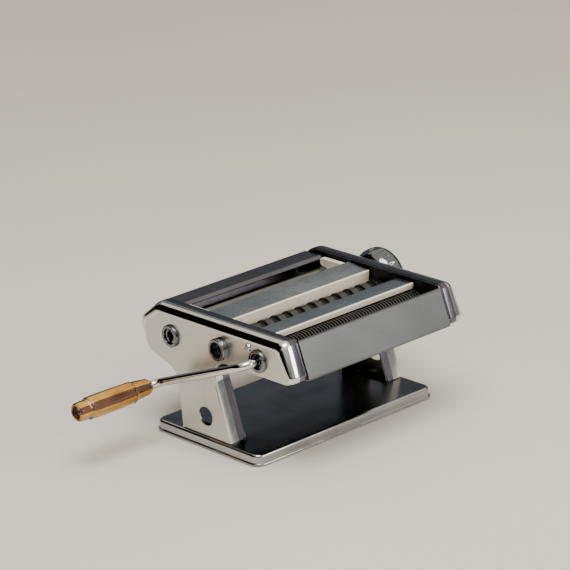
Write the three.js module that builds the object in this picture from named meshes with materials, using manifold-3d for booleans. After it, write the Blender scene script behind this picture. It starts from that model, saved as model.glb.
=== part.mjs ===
// Hand-cranked pasta machine: smooth rollers, a wide and a fine cutter, on a chromed tray base.
// Millimetres, +Z up. X runs along the rollers (crank at -X, gap knob at +X), the noodles leave at -Y.
import * as THREE from 'three';
import { mergeVertices } from 'three/addons/utils/BufferGeometryUtils.js';
import Module from 'manifold-3d';

const wasm = await Module();
wasm.setup();

// ---------------------------------------------------------------- driving dimensions
const GAP = 0.3; // clearance between separate pieces
const ROLLER_HALF = 75.2; // half of the 150 mm working width
const AXIS_Z = 88; // height of the four cutter axes
const SMOOTH_Z = 84; // height of the two smooth roller axes
const head = (rise) => AXIS_Z + rise; // a height in the head, measured from the cutter axes
const SHEET = 1; // covers and front panel

// Side plates: pressed pans whose rim points inwards.
const RIM_X = 76; // open edge of the pan
const SHOULDER_X = 83.5; // where the rounded shoulder starts
const FACE_X = 92; // outer flat face
const PAN_WALL = 1.2;
const SHOULDER_STEPS = 4;
// Corners are [y, z, radius]; rim and face share one corner order so that they can be lofted.
const NECK_FOOT = 9.6; // where the necks stand on the tray
const RIM_CORNERS = [
  [-10, NECK_FOOT, 0], [10.3, head(-12.6), 14], [-86.5, head(-12.6), 5],
  [-75, head(19.5), 6], [73, head(19.5), 14], [99, head(0), 10],
  [86, head(-22), 14], [48, head(-33), 16], [47.5, NECK_FOOT, 0],
];
const FACE_CORNERS = [
  [-9.5, NECK_FOOT, 0], [9, head(-11.8), 15], [-86, head(-12.2), 5],
  [-68, head(12.5), 7], [67, head(12.5), 10], [86, head(0.5), 8],
  [84.5, head(-20.4), 12], [49, head(-32), 16], [47, NECK_FOOT, 0],
];
const CLAMP_HOLE = { y: 18.4, z: 25.8, r: 8 };
const TOP_SCREW = { y: -37.2, z: head(8.3), hole: 2.8, shank: 2.4, head: 3.2, headThick: 2.2 };

// Inner cheek plates that carry the bearings, inside each pan.
const CHEEK_X = 76.6;
const CHEEK_THICK = 1.6;
const CHEEK_INSET = PAN_WALL + 0.5;
const CHEEK_FLOOR = head(-31); // lower edge across the neck

// Roller pairs: rear axis, front axis, working radius.
const SMOOTH = { rear: 54, front: 25, r: 13.2 };
const WIDE = { rear: -6, front: -26, r: 10.4, core: 9.2 };
const FINE = { rear: -48, front: -68, r: 9.6 };
const STRIP = 6.5; // width of a wide noodle
const STRIPS = 23;
const DISC_WIDTH = 6.35;
const JOURNAL_R = 4.5;
const GAP_TRAVEL = 2.4; // how far the front smooth roller closes in
const driven = [SMOOTH.rear, WIDE.rear, FINE.rear]; // the axes that the crank can turn
const axisHeight = (y) => (y === SMOOTH.rear || y === SMOOTH.front ? SMOOTH_Z : AXIS_Z);

// Gears on the knob side. The cutter pairs sit in two planes because their tips pass each other.
const GEAR_THICK = 2.8;
const GEAR_PLANES = { fine: 79.2, smooth: 80.4, wide: 83 };
const SMOOTH_GEAR = { teeth: 12, root: 10.2, tip: 16, rootHalf: 1.4, tipHalf: 0.8 };
const CUTTER_GEAR = { teeth: 10, root: 8.4, tip: 11, rootHalf: 1.5, tipHalf: 0.8 };
const GEAR_BORE = JOURNAL_R + GAP;

// Drive sockets on the crank side.
const SOCKET = { r: 6, bore: 3.9, depth: 15, end: -93, slot: 3.4, slotDepth: 12 };
const FERRULE = { hole: 7.6, flange: 9.2, thick: 2.2 };
const COLLAR_OUT = 6; // the wide cutter's ferrule stands further out

// Base tray.
const TRAY = { x: 96, front: -44.4, rear: 79.5, top: 9.3, lip: 0.8, corner: 9, wall: 1, round: 2.4 };
const FOOT = { r: 7, inset: 15 };

// Gap knob.
const KNOB = { r: 25, back: 93.8, tip: 121, wall: 1.6, web: 101, webThick: 2, bore: 4.4 };
const KNOB_DOME = 13; // how far the dome stands out from the knob's widest part
const KNOB_HOLE_R = 7.4;
const KNOB_SHAFT_R = 4;
const DIAL = { r: 19, back: FACE_X + 0.4, thick: 1 };
const SPRING = { from: 103.4, to: 112.6, r: 6, wire: 0.55, turns: 3.5 };

// Crank.
const CRANK = { rod: 3.3, plane: -108, arm: 110, droop: 20.5, bend: 9, tip: -81, end: -184, pin: 1.3 };
const GRIP = { from: -117, to: -189, r: 9.6, neck: 5.6, bore: 3.7, mouth: 4.9, mouthDepth: 8, facets: 12 };
const DROOP = THREE.MathUtils.degToRad(CRANK.droop);
const GRIP_Y = FINE.rear + CRANK.arm * Math.cos(DROOP);
const GRIP_Z = AXIS_Z - CRANK.arm * Math.sin(DROOP);

// ---------------------------------------------------------------- materials
function finish(color, roughness, metalness) {
  return new THREE.MeshStandardMaterial({ color, roughness, metalness });
}

const chrome = finish(0xd9dbd8, 0.12, 1);
const steel = finish(0x9aa0a3, 0.35, 1);
const satinSteel = finish(0x808284, 0.4, 0.9);
const coverSteel = finish(0x7c868b, 0.32, 0.9);
const darkCover = finish(0x4d4b52, 0.4, 0.8);
const nylon = finish(0xe6dfcc, 0.5, 0);
const rubber = finish(0x1b1b1d, 0.8, 0);
const amber = finish(0xc08a30, 0.25, 0.1);

// ---------------------------------------------------------------- shape helpers
// Shared vertices merged, flat slivers dropped and faces turned outwards.
function cleaned(geometry) {
  const bare = geometry.clone();
  for (const name of Object.keys(bare.attributes)) if (name !== 'position') bare.deleteAttribute(name);
  const merged = mergeVertices(bare, 1e-4);
  const p = merged.attributes.position;
  const kept = [];
  let volume = 0;
  const [a, b, c] = [new THREE.Vector3(), new THREE.Vector3(), new THREE.Vector3()];
  for (let i = 0; i < merged.index.count; i += 3) {
    const [ia, ib, ic] = [merged.index.getX(i), merged.index.getX(i + 1), merged.index.getX(i + 2)];
    if (ia === ib || ib === ic || ic === ia) continue;
    kept.push(ia, ib, ic);
    a.fromBufferAttribute(p, ia);
    b.fromBufferAttribute(p, ib);
    c.fromBufferAttribute(p, ic);
    volume += a.dot(b.cross(c));
  }
  if (volume < 0) {
    for (let i = 0; i < kept.length; i += 3) [kept[i + 1], kept[i + 2]] = [kept[i + 2], kept[i + 1]];
  }
  merged.setIndex(kept);
  return merged;
}

function toSolid(geometry) {
  const g = cleaned(geometry);
  const vertProperties = new Float32Array(g.attributes.position.array);
  const triVerts = new Uint32Array(g.index.array);
  return new wasm.Manifold(new wasm.Mesh({ numProp: 3, vertProperties, triVerts }));
}

function toGeometry(solid) {
  const mesh = solid.getMesh();
  const g = new THREE.BufferGeometry();
  g.setAttribute('position', new THREE.BufferAttribute(new Float32Array(mesh.vertProperties), 3));
  g.setIndex(new THREE.BufferAttribute(new Uint32Array(mesh.triVerts), 1));
  return g;
}

function cut(geometry, ...tools) {
  return toGeometry(tools.reduce((solid, tool) => solid.subtract(toSolid(tool)), toSolid(geometry)));
}

// Outline through corners [u, v, radius], each radius drawn as an arc of equal steps.
function roundedOutline(corners, steps = 3) {
  const points = [];
  corners.forEach(([u, v, radius], i) => {
    const corner = new THREE.Vector2(u, v);
    if (radius === 0) {
      points.push(corner);
      return;
    }
    const [pu, pv] = corners[(i + corners.length - 1) % corners.length];
    const [nu, nv] = corners[(i + 1) % corners.length];
    const back = new THREE.Vector2(pu - u, pv - v).normalize();
    const ahead = new THREE.Vector2(nu - u, nv - v).normalize();
    const half = Math.acos(THREE.MathUtils.clamp(back.dot(ahead), -1, 1)) / 2;
    const middle = back.clone().add(ahead).normalize().multiplyScalar(radius / Math.sin(half)).add(corner);
    const start = back.clone().multiplyScalar(radius / Math.tan(half)).add(corner).sub(middle);
    const turn = Math.sign(back.cross(ahead)) * (Math.PI - 2 * half);
    for (let s = 0; s <= steps; s += 1) {
      points.push(start.clone().rotateAround(new THREE.Vector2(), (-turn * s) / steps).add(middle));
    }
  });
  return points;
}

// The same outline moved inwards by a distance, with mitred corners.
function inset(outline, distance) {
  const inwards = THREE.ShapeUtils.area(outline) > 0 ? 1 : -1;
  const normal = (p, q) => new THREE.Vector2(p.y - q.y, q.x - p.x).normalize().multiplyScalar(inwards);
  return outline.map((point, i) => {
    const before = normal(outline[(i + outline.length - 1) % outline.length], point);
    const after = normal(point, outline[(i + 1) % outline.length]);
    const mitre = distance / (1 + before.dot(after));
    return point.clone().add(before.add(after).multiplyScalar(mitre));
  });
}

const blend = (from, to, t) => from.map((p, i) => p.clone().lerp(to[i], t));

// Closed skin through rings of equally many 3D points; flat caps close the first and last ring.
function loft(rings) {
  const count = rings[0].length;
  const positions = rings.flat().flatMap((p) => [p.x, p.y, p.z]);
  const index = [];
  for (let r = 0; r + 1 < rings.length; r += 1) {
    for (let i = 0; i < count; i += 1) {
      const j = (i + 1) % count;
      const [a, b, c, d] = [r * count + i, r * count + j, (r + 1) * count + i, (r + 1) * count + j];
      index.push(a, b, d, a, d, c);
    }
  }
  const flat = (ring) => {
    const u = new THREE.Vector3().subVectors(ring[1], ring[0]).normalize();
    const n = new THREE.Vector3();
    ring.forEach((p, i) => n.add(new THREE.Vector3().crossVectors(p, ring[(i + 1) % count])));
    n.normalize();
    const v = new THREE.Vector3().crossVectors(n, u);
    return ring.map((p) => new THREE.Vector2(p.dot(u), p.dot(v)));
  };
  for (const t of THREE.ShapeUtils.triangulateShape(flat(rings[0]), [])) index.push(t[0], t[2], t[1]);
  const last = (rings.length - 1) * count;
  for (const t of THREE.ShapeUtils.triangulateShape(flat(rings[rings.length - 1]), [])) {
    index.push(last + t[0], last + t[1], last + t[2]);
  }
  const g = new THREE.BufferGeometry();
  g.setAttribute('position', new THREE.Float32BufferAttribute(positions, 3));
  g.setIndex(index);
  return g;
}

const AXES_YZX = new THREE.Matrix4().makeBasis(
  new THREE.Vector3(0, 1, 0), new THREE.Vector3(0, 0, 1), new THREE.Vector3(1, 0, 0),
);

// Outline in the YZ plane, extruded from x0 to x1.
function alongX(outline, x0, x1) {
  const g = new THREE.ExtrudeGeometry(new THREE.Shape(outline), { depth: x1 - x0, bevelEnabled: false });
  return g.applyMatrix4(AXES_YZX).translate(x0, 0, 0);
}

// Round bar along X.
function bar(radius, x0, x1, y, z, sides = 16) {
  const g = new THREE.CylinderGeometry(radius, radius, x1 - x0, sides);
  return g.rotateZ(Math.PI / 2).translate((x0 + x1) / 2, y, z);
}

// Round section for a bent bar, with the given number of sides.
function roundSection(radius, sides) {
  return new THREE.Shape(new THREE.EllipseCurve(0, 0, radius, radius).getPoints(sides).slice(0, sides));
}

// Profile of [x, radius] pairs turned about an axis parallel to X.
function turned(profile, y, z, sides = 20) {
  const points = profile.map(([x, radius]) => new THREE.Vector2(radius, x));
  return new THREE.LatheGeometry(points, sides).rotateZ(-Math.PI / 2).translate(0, y, z);
}

// Turned ring: outer profile closed on itself by a plain bore.
function ringTurned(outer, bore, y, z, sides = 16) {
  const [first, last] = [outer[0][0], outer[outer.length - 1][0]];
  return turned([[first, bore], ...outer, [last, bore], [first, bore]], y, z, sides);
}

// Bent sheet: a line of [y, rise above the roller axes] points given a thickness, extruded along X.
function sheetAlongX(line, thickness, x0, x1) {
  const path = line.map(([y, rise]) => new THREE.Vector2(y, head(rise)));
  const side = path.map((p, i) => {
    const a = path[Math.max(i - 1, 0)];
    const b = path[Math.min(i + 1, path.length - 1)];
    const n1 = new THREE.Vector2(a.y - p.y, p.x - a.x);
    const n2 = new THREE.Vector2(p.y - b.y, b.x - p.x);
    if (i === 0) n1.copy(n2);
    if (i === path.length - 1) n2.copy(n1);
    n1.normalize();
    n2.normalize();
    return p.clone().add(n1.clone().add(n2).multiplyScalar(thickness / (1 + n1.dot(n2))));
  });
  return alongX([...path, ...side.reverse()], x0, x1);
}

const machine = new THREE.Group();

function place(name, geometry, material, parent = machine) {
  const mesh = new THREE.Mesh(cleaned(geometry), material);
  mesh.name = name;
  parent.add(mesh);
  return mesh;
}

const sides = [{ name: 'crank', dir: -1 }, { name: 'knob', dir: 1 }];

// ---------------------------------------------------------------- base tray and feet
function trayOutline(shrink) {
  const [x, f, r] = [TRAY.x - shrink, TRAY.front + shrink, TRAY.rear - shrink];
  const corner = TRAY.corner - shrink;
  return roundedOutline([[-x, f, corner], [x, f, corner], [x, r, corner], [-x, r, corner]], 4);
}

function baseTray() {
  const level = (shrink, z) => trayOutline(shrink).map((p) => new THREE.Vector3(p.x, p.y, z));
  const { top, lip, wall, round } = TRAY;
  const flare = 1.2; // the lip stands out by this much below the skirt
  const outer = [level(0, lip), level(0, lip + 1), level(flare, lip + 1.8)];
  const inner = [level(wall, lip), level(flare + wall, lip + 1.6)];
  for (let s = 0; s <= 3; s += 1) {
    const angle = (s / 3) * (Math.PI / 2);
    const [into, up] = [round * (1 - Math.cos(angle)), round * (1 - Math.sin(angle))];
    outer.push(level(flare + into, top - up));
    inner.push(level(flare + wall + into * 0.8, top - wall - up * 0.8));
  }
  return loft([...outer.reverse(), ...inner]);
}

function feet() {
  for (const [end, x] of [['left', -1], ['right', 1]]) {
    for (const [row, y] of [['front', TRAY.front + FOOT.inset], ['rear', TRAY.rear - FOOT.inset]]) {
      const top = TRAY.top - TRAY.wall - GAP;
      const profile = [[0, 0], [0, FOOT.r - 1], [1, FOOT.r], [top, FOOT.r], [top, 0]];
      const points = profile.map(([z, r]) => new THREE.Vector2(r, z));
      const foot = new THREE.LatheGeometry(points, 14).rotateX(Math.PI / 2);
      place(`foot_${row}_${end}`, foot.translate(x * (TRAY.x - FOOT.inset), y, 0), rubber);
    }
  }
}

// ---------------------------------------------------------------- side plates and cheeks
function sidePan(dir) {
  const rim = roundedOutline(RIM_CORNERS);
  const face = roundedOutline(FACE_CORNERS);
  const rimInner = inset(rim, PAN_WALL);
  const faceInner = inset(face, PAN_WALL);
  const ring = (outline, x) => outline.map((p) => new THREE.Vector3(dir * x, p.x, p.y));
  const outer = [ring(rim, RIM_X)];
  const inner = [ring(rimInner, RIM_X)];
  for (let s = 0; s <= SHOULDER_STEPS; s += 1) {
    const angle = (s / SHOULDER_STEPS) * (Math.PI / 2);
    const t = 1 - Math.cos(angle);
    outer.push(ring(blend(rim, face, t), SHOULDER_X + (FACE_X - SHOULDER_X) * Math.sin(angle)));
    const depth = FACE_X - PAN_WALL - SHOULDER_X;
    inner.push(ring(blend(rimInner, faceInner, t), SHOULDER_X + depth * Math.sin(angle)));
  }
  return loft([...outer.reverse(), ...inner]);
}

function throughFace(dir, { y, z, r }) {
  const [near, far] = [dir * (SHOULDER_X + 1), dir * (FACE_X + 2)];
  return bar(r, Math.min(near, far), Math.max(near, far), y, z, 20);
}

function sidePlates() {
  const screw = { ...TOP_SCREW, r: TOP_SCREW.hole };
  const sockets = driven.map((y) => ({ y, z: axisHeight(y), r: FERRULE.hole }));
  const knobHole = { y: SMOOTH.front, z: SMOOTH_Z, r: KNOB_HOLE_R };
  const holes = { crank: [CLAMP_HOLE, screw, ...sockets], knob: [CLAMP_HOLE, screw, knobHole] };
  for (const { name, dir } of sides) {
    place(`side_plate_${name}`, cut(sidePan(dir), ...holes[name].map((h) => throughFace(dir, h))), chrome);
  }
}

// Tie rods: the top one shows a screw head on each pan, the lower two end behind the cheeks.
const TIE_RODS = [
  { name: 'top_front', y: TOP_SCREW.y, z: TOP_SCREW.z },
  { name: 'lower_rear', y: 74, z: head(-16) },
  { name: 'lower_middle', y: 9, z: head(-18) },
];
const BUSH = { hole: 7, flange: 8.2, flangeThick: 1.4 };
const SLOT_BLOCK = { half: 6.5 }; // square block that slides with the front smooth roller

function cheekPlate(dir) {
  const outline = inset(roundedOutline(RIM_CORNERS), CHEEK_INSET);
  const x0 = dir > 0 ? CHEEK_X : -CHEEK_X - CHEEK_THICK;
  const x1 = x0 + CHEEK_THICK;
  const tools = [new THREE.BoxGeometry(10, 200, CHEEK_FLOOR).translate(x0, 20, CHEEK_FLOOR / 2)];
  for (const y of [SMOOTH.rear, WIDE.rear, WIDE.front, FINE.rear, FINE.front]) {
    tools.push(bar(BUSH.hole, x0 - 1, x1 + 1, y, axisHeight(y), 16));
  }
  const slotWidth = 2 * (SLOT_BLOCK.half + GAP) + GAP_TRAVEL;
  const slot = new THREE.BoxGeometry(6, slotWidth, 2 * (SLOT_BLOCK.half + GAP));
  tools.push(slot.translate((x0 + x1) / 2, SMOOTH.front + GAP_TRAVEL / 2, SMOOTH_Z));
  for (const { y, z } of TIE_RODS) tools.push(bar(TOP_SCREW.hole, x0 - 1, x1 + 1, y, z, 10));
  return cut(alongX(outline, x0, x1), ...tools);
}

function bushes() {
  const axes = { smooth_rear: SMOOTH.rear, wide_rear: WIDE.rear, wide_front: WIDE.front,
    fine_rear: FINE.rear, fine_front: FINE.front };
  for (const { name, dir } of sides) {
    place(`cheek_plate_${name}`, cheekPlate(dir), steel);
    for (const [roller, y] of Object.entries(axes)) {
      const inside = CHEEK_X + CHEEK_THICK + 0.1;
      const profile = [
        [CHEEK_X - 0.2, BUSH.hole - 0.2], [inside, BUSH.hole - 0.2],
        [inside, BUSH.flange - 0.4], [inside + 0.7, BUSH.flange - 0.4],
      ].map(([x, r]) => [dir * x, r]);
      const bore = dir < 0 && driven.includes(y) ? SOCKET.r + GAP : JOURNAL_R + GAP;
      place(`bush_${roller}_${name}`, ringTurned(profile, bore, y, axisHeight(y), 10), nylon);
    }
    const x = dir * (CHEEK_X + CHEEK_THICK / 2);
    const size = 2 * SLOT_BLOCK.half;
    const block = new THREE.BoxGeometry(CHEEK_THICK + 1, size, size).translate(x, SMOOTH.front, SMOOTH_Z);
    const bore = bar(JOURNAL_R + GAP, x - 3, x + 3, SMOOTH.front, SMOOTH_Z);
    place(`slide_block_${name}`, cut(block, bore), nylon);
  }
}

function tieRods() {
  for (const { name, y, z } of TIE_RODS) {
    const through = name === 'top_front';
    const { shank, head: headR, headThick } = TOP_SCREW;
    const seat = (through ? FACE_X : CHEEK_X + CHEEK_THICK) + GAP;
    const end = seat + headThick;
    const half = [[seat, shank], [seat, headR], [end - 0.5, headR], [end, headR - 0.9], [end, 0]];
    const mirrored = half.map(([x, r]) => [-x, r]).reverse();
    place(`tie_rod_${name}`, turned([...mirrored, ...half], y, z, 10), through ? chrome : steel);
  }
}

// ---------------------------------------------------------------- rollers, cutters and gears
const journalEnd = (plane) => plane + GEAR_THICK + 0.4;

// Shaft ends for a roller: a slotted drive socket or a plain stub at -X, a stub for the gear at +X.
function rollerGeometry(y, body, plane, isDriven, segments) {
  const shaft = isDriven
    ? [[-ROLLER_HALF, SOCKET.r], [SOCKET.end, SOCKET.r], [SOCKET.end, SOCKET.bore],
      [SOCKET.end + SOCKET.depth, SOCKET.bore], [SOCKET.end + SOCKET.depth, 0]].reverse()
    : [[-ROLLER_HALF, JOURNAL_R], [-83, JOURNAL_R], [-83, 0]].reverse();
  const stub = [[ROLLER_HALF, JOURNAL_R], [journalEnd(plane), JOURNAL_R], [journalEnd(plane), 0]];
  const roller = turned([...shaft, ...body, ...stub], y, axisHeight(y), segments);
  if (!isDriven) return roller;
  const slot = new THREE.BoxGeometry(SOCKET.slotDepth * 2, SOCKET.slot, SOCKET.r * 3);
  return cut(roller, slot.translate(SOCKET.end, y, axisHeight(y)));
}

const plainBody = (r) => [[-ROLLER_HALF, r - 0.4], [-ROLLER_HALF + 0.4, r], [ROLLER_HALF - 0.4, r],
  [ROLLER_HALF, r - 0.4]];

// Cutting discs on every other strip, so that the two rollers of a pair interleave.
function discBody(first) {
  const body = [[-ROLLER_HALF, WIDE.core]];
  const start = (-STRIPS * STRIP) / 2 + STRIP / 2;
  for (let strip = first; strip < STRIPS; strip += 2) {
    const middle = start + strip * STRIP;
    const [from, to] = [middle - DISC_WIDTH / 2, middle + DISC_WIDTH / 2];
    body.push([from, WIDE.core], [from, WIDE.r], [to, WIDE.r], [to, WIDE.core]);
  }
  body.push([ROLLER_HALF, WIDE.core]);
  return body;
}

function gear({ teeth, root, tip, rootHalf, tipHalf }, y, plane, phase) {
  const outline = [];
  const add = (r, angle) => outline.push(new THREE.Vector2(r * Math.cos(angle), r * Math.sin(angle)));
  for (let tooth = 0; tooth < teeth; tooth += 1) {
    const middle = ((tooth + phase) * 2 * Math.PI) / teeth;
    const [wide, narrow] = [rootHalf / root, tipHalf / tip];
    for (const [r, offset] of [[root, -wide], [tip, -narrow], [tip, narrow], [root, wide]]) {
      add(r, middle + offset);
    }
  }
  const blank = alongX(outline, plane, plane + GEAR_THICK);
  const bore = bar(GEAR_BORE, plane - 1, plane + GEAR_THICK + 1, 0, 0, 14);
  return cut(blank, bore).translate(0, y, axisHeight(y));
}

function rollers() {
  const pairs = [
    { name: 'smooth_roller', pair: SMOOTH, gear: SMOOTH_GEAR, plane: GEAR_PLANES.smooth, metal: chrome,
      bodies: [plainBody(SMOOTH.r), plainBody(SMOOTH.r)], segments: 24 },
    { name: 'wide_cutter', pair: WIDE, gear: CUTTER_GEAR, plane: GEAR_PLANES.wide, metal: steel,
      bodies: [discBody(0), discBody(1)], segments: 12 },
    { name: 'fine_cutter', pair: FINE, gear: CUTTER_GEAR, plane: GEAR_PLANES.fine, metal: steel,
      bodies: [plainBody(FINE.r), plainBody(FINE.r)], segments: 18 },
  ];
  for (const { name, pair, gear: teeth, plane, metal, bodies, segments } of pairs) {
    ['rear', 'front'].forEach((row, i) => {
      const y = pair[row];
      place(`${name}_${row}`, rollerGeometry(y, bodies[i], plane, driven.includes(y), segments), metal);
      place(`${name}_gear_${row}`, gear(teeth, y, plane, i * 0.5), steel);
    });
  }
}

// Flanged ferrules in the crank-side plate; the crank fits through any of the three.
function ferrules() {
  const names = { smooth: SMOOTH.rear, wide: WIDE.rear, fine: FINE.rear };
  for (const [name, y] of Object.entries(names)) {
    const out = name === 'wide' ? COLLAR_OUT : FERRULE.thick;
    const face = FACE_X + 0.2;
    const profile = [
      [-face - out, FERRULE.flange - 1.6], [-face - out + 0.6, FERRULE.flange - 0.6],
      [-face - out + 1.4, FERRULE.flange], [-face, FERRULE.flange],
      [-face, FERRULE.hole - 0.3], [-FACE_X + PAN_WALL + 1.5, FERRULE.hole - 0.3],
    ];
    place(`drive_ferrule_${name}`, ringTurned(profile, SOCKET.r + GAP, y, axisHeight(y), 16), chrome);
  }
}

// ---------------------------------------------------------------- covers, guides and scrapers
function covers() {
  const half = ROLLER_HALF;
  const strips = {
    rear_cover: [[[57.5, 13.6], [60.5, 15.4], [79, 14.6], [84, 12.4], [93.5, 3], [94.4, -1], [86, -19.5]],
      darkCover],
    middle_top_plate: [[[28.4, 14.4], [28.8, 16.4], [27.6, 17.4], [4.6, 15.6], [4, 14.6], [6.4, -1]],
      coverSteel],
    front_top_plate: [[[-28.6, 11.6], [-27.6, 14.6], [-28.4, 15.8], [-45.2, 16], [-46.2, 15],
      [-45.4, 10.9]], coverSteel],
    front_panel: [[[-70.6, 15.2], [-74.6, 17.8], [-76, 17], [-85.8, -10.6], [-85.2, -12], [-80.6, -13]],
      satinSteel],
  };
  for (const [name, [line, material]] of Object.entries(strips)) {
    place(name, sheetAlongX(line, SHEET, -half, half), material);
  }
}

// Wedge-shaped cheeks that close the ends of the hopper over the smooth rollers.
function doughGuides() {
  const corners = [[30, 15.6, 1], [30, 11, 1], [39.5, -2, 1], [56, 11, 1], [56, 15.6, 1]];
  const outline = roundedOutline(corners.map(([y, rise, r]) => [y, head(rise), r]), 3);
  const clear = SMOOTH.r + 0.35;
  for (const { name, dir } of sides) {
    const x0 = dir > 0 ? 70 : -74.6;
    const wedge = alongX(outline, x0, x0 + 4.6);
    const tools = [SMOOTH.rear, SMOOTH.front, SMOOTH.front + GAP_TRAVEL].map(
      (y) => bar(clear, x0 - 1, x0 + 6, y, SMOOTH_Z, 32),
    );
    place(`dough_guide_${name}`, cut(wedge, ...tools), nylon);
  }
}

// Blades that lift the sheet off each roller, just below the nip.
function scrapers() {
  const blades = {
    smooth_scraper_rear: [[45.2, -15.6], [55, -21.6], [62, -21.6]],
    smooth_scraper_front: [[34, -15.6], [24.4, -21.6], [17.4, -21.6]],
    wide_comb_rear: [[-11.6, -10.8], [-6, -14.2], [0, -14.2]],
    wide_comb_front: [[-20.4, -10.8], [-26, -14.2], [-32, -14.2]],
    fine_comb_rear: [[-53.8, -10.8], [-48, -14.2], [-42, -14.2]],
    fine_comb_front: [[-62.2, -10.8], [-68, -14.2], [-74, -14.2]],
  };
  for (const [name, line] of Object.entries(blades)) {
    place(name, sheetAlongX(line, 0.8, -ROLLER_HALF + 1, ROLLER_HALF - 1), steel);
  }
}

// ---------------------------------------------------------------- gap knob
function gapKnob() {
  const { r, back, tip, wall, web, webThick, bore } = KNOB;
  const dome = (outset, steps) => {
    const points = [];
    const depth = KNOB_DOME - outset;
    for (let s = 0; s <= steps; s += 1) {
      const angle = (s / steps) * (Math.PI / 2);
      points.push([tip - KNOB_DOME + depth * Math.sin(angle), (r - outset) * Math.cos(angle)]);
    }
    points[points.length - 1][1] = 0;
    return points;
  };
  const outer = [[back, r - 9], [back + 1.6, r - 5], [back + 4.6, r - 1.6], [back + 9, r], ...dome(0, 5)];
  const inner = [
    [back, r - 9 - wall], [web - 1.4, r - 1.4 - wall], [web, r - wall], [web, bore],
    [web + webThick, bore], [web + webThick, r - wall], ...dome(wall, 4),
  ];
  const knob = turned([...outer.slice().reverse(), ...inner], SMOOTH.front, SMOOTH_Z, 20);
  place('gap_knob', knob, chrome);

  const hub = 7;
  const shaft = turned([
    [FACE_X - 2.2, 0], [FACE_X - 2.2, hub], [DIAL.back - 0.1, hub], [DIAL.back - 0.1, KNOB_SHAFT_R],
    [SPRING.to + GAP, KNOB_SHAFT_R], [SPRING.to + GAP, hub], [SPRING.to + 1.5, hub], [SPRING.to + 1.5, 0],
  ], SMOOTH.front, SMOOTH_Z, 16);
  place('gap_cam_shaft', shaft, steel);

  const dial = ringTurned([[DIAL.back, DIAL.r], [DIAL.back + DIAL.thick, DIAL.r]], KNOB_SHAFT_R + GAP,
    SMOOTH.front, SMOOTH_Z, 24);
  place('gap_dial', dial, satinSteel);

  class Helix extends THREE.Curve {
    getPoint(t, target = new THREE.Vector3()) {
      const angle = t * SPRING.turns * 2 * Math.PI;
      const x = THREE.MathUtils.lerp(SPRING.from + SPRING.wire, SPRING.to - SPRING.wire, t);
      return target.set(x, SPRING.r * Math.cos(angle), SPRING.r * Math.sin(angle));
    }
  }
  const section = roundSection(SPRING.wire, 5);
  const along = { steps: 36, extrudePath: new Helix(), bevelEnabled: false };
  const coil = new THREE.ExtrudeGeometry(section, along);
  place('knob_spring', coil.translate(0, SMOOTH.front, SMOOTH_Z), steel);
}

// ---------------------------------------------------------------- crank
function crank() {
  const corners = [
    new THREE.Vector3(CRANK.tip, FINE.rear, AXIS_Z),
    new THREE.Vector3(CRANK.plane, FINE.rear, AXIS_Z),
    new THREE.Vector3(CRANK.plane, GRIP_Y, GRIP_Z),
    new THREE.Vector3(CRANK.end, GRIP_Y, GRIP_Z),
  ];
  const path = new THREE.CurvePath();
  let from = corners[0];
  const towards = (a, b) => a.clone().lerp(b, CRANK.bend / a.distanceTo(b));
  for (const i of [1, 2]) {
    const before = towards(corners[i], corners[i - 1]);
    const after = towards(corners[i], corners[i + 1]);
    path.add(new THREE.LineCurve3(from, before));
    path.add(new THREE.QuadraticBezierCurve3(before, corners[i], after));
    from = after;
  }
  path.add(new THREE.LineCurve3(from, corners[3]));
  const section = roundSection(CRANK.rod, 10);
  const rod = new THREE.ExtrudeGeometry(section, { steps: 40, extrudePath: path, bevelEnabled: false });
  const pinX = SOCKET.end + SOCKET.slot;
  const pinHole = new THREE.CylinderGeometry(CRANK.pin + 0.1, CRANK.pin + 0.1, 20, 10);
  const rodWithHole = cut(rod, pinHole.rotateX(Math.PI / 2).translate(pinX, FINE.rear, AXIS_Z));
  place('crank_rod', rodWithHole, chrome);
  const pin = new THREE.CylinderGeometry(CRANK.pin, CRANK.pin, 2 * SOCKET.r - 0.6, 10);
  place('crank_drive_pin', pin.rotateX(Math.PI / 2).translate(pinX, FINE.rear, AXIS_Z), steel);

  const { from: near, to: far, r, neck, bore, mouth, mouthDepth, facets } = GRIP;
  const grip = turned([
    [near, bore], [near, neck - 0.4], [near - 3, neck + 1.4], [near - 17, neck + 2.4], [near - 18, r - 0.2],
    [near - 30, r], [far + 12, r - 1], [far + 10.5, r - 2], [far + 1, r - 2.4], [far, r - 3], [far, mouth],
    [far + mouthDepth, mouth], [far + mouthDepth, bore], [near, bore],
  ], GRIP_Y, GRIP_Z, facets);
  place('crank_grip', grip, amber);
  const capOutside = [[CRANK.end - 0.4, 4.2], [CRANK.end - 1.6, 4.8], [CRANK.end - 1.9, 4.2]];
  place('grip_retainer', ringTurned(capOutside, 1.2, GRIP_Y, GRIP_Z, 12), steel);
}

place('base_tray', baseTray(), chrome);
feet();
sidePlates();
bushes();
tieRods();
rollers();
ferrules();
covers();
doughGuides();
scrapers();
gapKnob();
crank();

// The origin is the middle of the whole machine's footprint, on the table.
const box = new THREE.Box3().setFromObject(machine);
machine.position.set(-(box.min.x + box.max.x) / 2, -(box.min.y + box.max.y) / 2, -box.min.z);

const part = new THREE.Group();
part.add(machine);
export default part;
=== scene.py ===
import math

import bmesh
import bpy
import numpy as np
from mathutils import Matrix, Vector
from mathutils.geometry import delaunay_2d_cdt


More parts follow.
